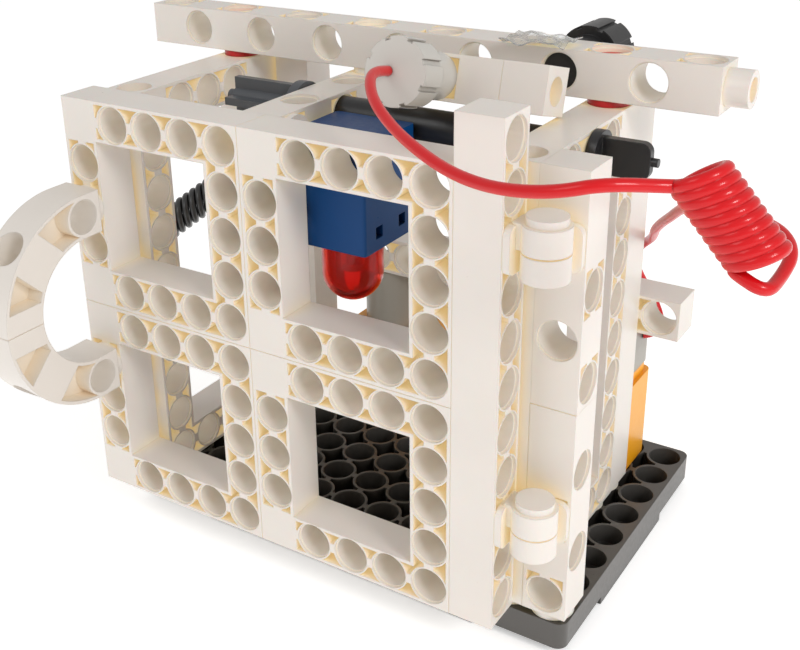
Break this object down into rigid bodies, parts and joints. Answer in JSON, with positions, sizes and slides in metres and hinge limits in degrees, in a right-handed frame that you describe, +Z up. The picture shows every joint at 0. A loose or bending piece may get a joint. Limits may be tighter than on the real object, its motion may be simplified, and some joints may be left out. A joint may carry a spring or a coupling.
{
  "type": "construction kit cabinet",
  "caption": "Snap-together kit cabinet on a perforated base plate, with a hinged windowed door, bow handle, lamp, hand-turned shaft and curly cords.",
  "frame": {"origin": "centre of the base plate's underside, on the plane the plate stands on", "axes": "+Z up, -Y towards the door's front, +X towards the hinges"},
  "size_m": [0.2015, 0.123, 0.1287],
  "materials": {
    "white_plastic": "satin",
    "plate_plastic": "satin",
    "red_plastic": "gloss",
    "black_plastic": "gloss",
    "grey_plastic": "satin",
    "red_cord": "gloss",
    "yellow_plastic": "gloss",
    "pale_grey_plastic": "satin",
    "blue_plastic": "gloss",
    "red_lens": "gloss",
    "bulb_glass": "gloss"
  },
  "bodies": {
    "cabinet": {"back_bar_inner": "white_plastic", "back_bar_left": "white_plastic", "back_bar_right": "white_plastic", "back_cross_bar": "white_plastic", "base_plate": "plate_plastic", "beam_end_peg": "white_plastic", "black_coil": "black_plastic", "black_lead": "black_plastic", "black_plug": "black_plastic", "black_tail": "black_plastic", "contact_end": "white_plastic", "contact_rod": "white_plastic", "cross_peg": "white_plastic", "foot_peg_back_left": "white_plastic", "foot_peg_back_right": "white_plastic", "foot_peg_post": "white_plastic", "foot_peg_wall_left_back": "white_plastic", "foot_peg_wall_left_front": "white_plastic", "foot_peg_wall_right_back": "white_plastic", "foot_peg_wall_right_front": "white_plastic", "hinge_post_lower": "white_plastic", "hinge_post_upper": "white_plastic", "lamp_block": "blue_plastic", "lamp_bulb": "bulb_glass", "lamp_lens": "red_lens", "lamp_peg": "white_plastic", "mid_rod": "white_plastic", "post_lower": "white_plastic", "post_upper": "white_plastic", "power_block": "grey_plastic", "power_case": "yellow_plastic", "power_drum": "grey_plastic", "red_coil": "red_cord", "red_lead": "red_cord", "red_peg_left": "red_plastic", "red_peg_right": "red_plastic", "red_plug": "pale_grey_plastic", "red_tail": "red_cord", "rod_spacer": "white_plastic", "top_beam": "white_plastic", "wall_left": "white_plastic", "wall_right": "white_plastic"},
    "door": {"door_bar": "white_plastic", "door_frame_left_lower": "white_plastic", "door_frame_left_upper": "white_plastic", "door_frame_right_lower": "white_plastic", "door_frame_right_upper": "white_plastic", "handle_lower": "white_plastic", "handle_peg_lower": "white_plastic", "handle_peg_upper": "white_plastic", "handle_upper": "white_plastic", "hinge_door_lower": "white_plastic", "hinge_door_upper": "white_plastic"},
    "axle": {"axle_hub": "grey_plastic", "axle_shaft": "black_plastic", "axle_tab": "black_plastic"}
  },
  "joints": [
    {"name": "door_hinge", "type": "hinge", "parent": "cabinet", "child": "door", "pos_m": [0.055, -0.0465, 0.066], "axis": [0, 0, 1], "range_deg": [0, 105]},
    {"name": "shaft_turn", "type": "hinge", "parent": "cabinet", "child": "axle", "pos_m": [0, -0.015, 0.105], "axis": [1, 0, 0], "continuous": true}
  ]
}
